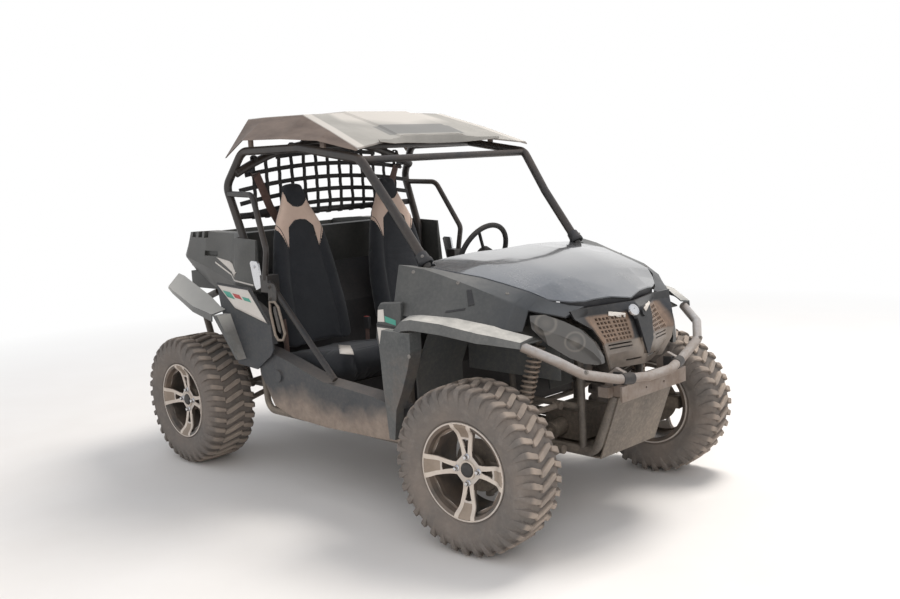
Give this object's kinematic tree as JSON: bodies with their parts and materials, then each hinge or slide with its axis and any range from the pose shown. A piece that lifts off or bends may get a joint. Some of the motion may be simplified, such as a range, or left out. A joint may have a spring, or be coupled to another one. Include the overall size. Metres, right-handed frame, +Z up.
{
  "type": "side-by-side dune buggy",
  "caption": "Open two-seat off-road buggy with a tube cage, plastic roof and panels, cargo box, coil-over suspension and steerable lugged wheels.",
  "frame": {"origin": "on the ground at the middle of the vehicle's length and width", "axes": "+X forward, +Y to the vehicle's left, +Z up"},
  "size_m": [2.87, 1.5634, 1.7729],
  "materials": {
    "tyre_rubber": "dusty matt",
    "rim_alloy": "machined faces, black pockets",
    "hub_steel": "dull",
    "knuckle_iron": "dull",
    "frame_paint": "satin black, dusty",
    "dark_plastic": "satin, dusty",
    "grey_plastic": "satin, dusty",
    "pale_plastic": "matt, dusty",
    "hood_gloss": "gloss black",
    "black_webbing": "woven",
    "seat_cover": "black with a pale insert",
    "silver_tube": "satin silver",
    "lamp_clear": "clear cover over a grey bowl",
    "running_gear": "black, dusty",
    "spring_steel": "dusty brown",
    "engine_alloy": "cast",
    "exhaust_steel": "dull"
  },
  "bodies": {
    "chassis": {"front_frame": "frame_paint", "cabin_frame": "frame_paint", "rear_frame": "frame_paint", "floor_tub": "dark_plastic", "lower_side_panels": "dark_plastic", "roll_cage": "frame_paint", "roof_panel": "pale_plastic", "rear_net": "black_webbing", "side_bars": "frame_paint", "seat_backs": "seat_cover", "seat_cushions": "seat_cover", "dashboard": "dark_plastic", "hood_panel": "hood_gloss", "front_side_panels": "grey_plastic", "fender_flares": "pale_plastic", "front_inner_fenders": "dark_plastic", "nose_fascia": "dark_plastic", "lamps": "lamp_clear", "front_bumper": "silver_tube", "skid_plate": "running_gear", "suspension_arms": "running_gear", "rear_carriers": "knuckle_iron", "shocks": "running_gear", "springs": "spring_steel", "half_shafts": "running_gear", "engine_block": "engine_alloy", "muffler": "exhaust_steel", "rear_bumper": "frame_paint", "cargo_box": "grey_plastic"},
    "front_knuckle_right": {"front_knuckle_right": "knuckle_iron"},
    "front_knuckle_left": {"front_knuckle_left": "knuckle_iron"},
    "steering_rack": {"steering_rack": "running_gear"},
    "steering_wheel": {"steering_wheel": "dark_plastic"},
    "wheel_front_right": {"tyre_front_right": "tyre_rubber", "rim_front_right": "rim_alloy", "hub_front_right": "hub_steel"},
    "wheel_front_left": {"tyre_front_left": "tyre_rubber", "rim_front_left": "rim_alloy", "hub_front_left": "hub_steel"},
    "wheel_rear_right": {"tyre_rear_right": "tyre_rubber", "rim_rear_right": "rim_alloy", "hub_rear_right": "hub_steel"},
    "wheel_rear_left": {"tyre_rear_left": "tyre_rubber", "rim_rear_left": "rim_alloy", "hub_rear_left": "hub_steel"}
  },
  "joints": [
    {"name": "steer_right", "type": "hinge", "parent": "chassis", "child": "front_knuckle_right", "pos_m": [0.99, -0.56, 0.335], "axis": [0, 0, 1], "range_deg": [-34.65, 21.35]},
    {"name": "steer_left", "type": "hinge", "parent": "chassis", "child": "front_knuckle_left", "pos_m": [0.99, 0.56, 0.335], "axis": [0, 0, 1], "range_deg": [-34.65, 21.35]},
    {"name": "spin_front_right", "type": "hinge", "parent": "front_knuckle_right", "child": "wheel_front_right", "pos_m": [0.99892, -0.63648, 0.335], "axis": [0.1158, -0.9933, 0], "continuous": true},
    {"name": "spin_front_left", "type": "hinge", "parent": "front_knuckle_left", "child": "wheel_front_left", "pos_m": [0.98108, 0.63648, 0.335], "axis": [-0.1158, 0.9933, 0], "continuous": true},
    {"name": "spin_rear_right", "type": "hinge", "parent": "chassis", "child": "wheel_rear_right", "pos_m": [-1.05, -0.617, 0.335], "axis": [0, -1, 0], "continuous": true},
    {"name": "spin_rear_left", "type": "hinge", "parent": "chassis", "child": "wheel_rear_left", "pos_m": [-1.05, 0.617, 0.335], "axis": [0, 1, 0], "continuous": true},
    {"name": "steering_wheel_turn", "type": "hinge", "parent": "chassis", "child": "steering_wheel", "pos_m": [0.19, 0.31, 1.035], "axis": [-0.9135, 0, 0.4067], "range_deg": [-311.86, 192.16]},
    {"name": "rack_slide", "type": "slide", "parent": "chassis", "child": "steering_rack", "axis": [0, -1, 0], "range_m": [-0.06657, 0.04104]}
  ],
  "couplings": [
    {"joint": "steer_left", "follows": "steer_right", "ratio": 1},
    {"joint": "steering_wheel_turn", "follows": "steer_right", "ratio": 9},
    {"joint": "rack_slide", "follows": "steer_right", "m_per_rad": 0.11}
  ]
}
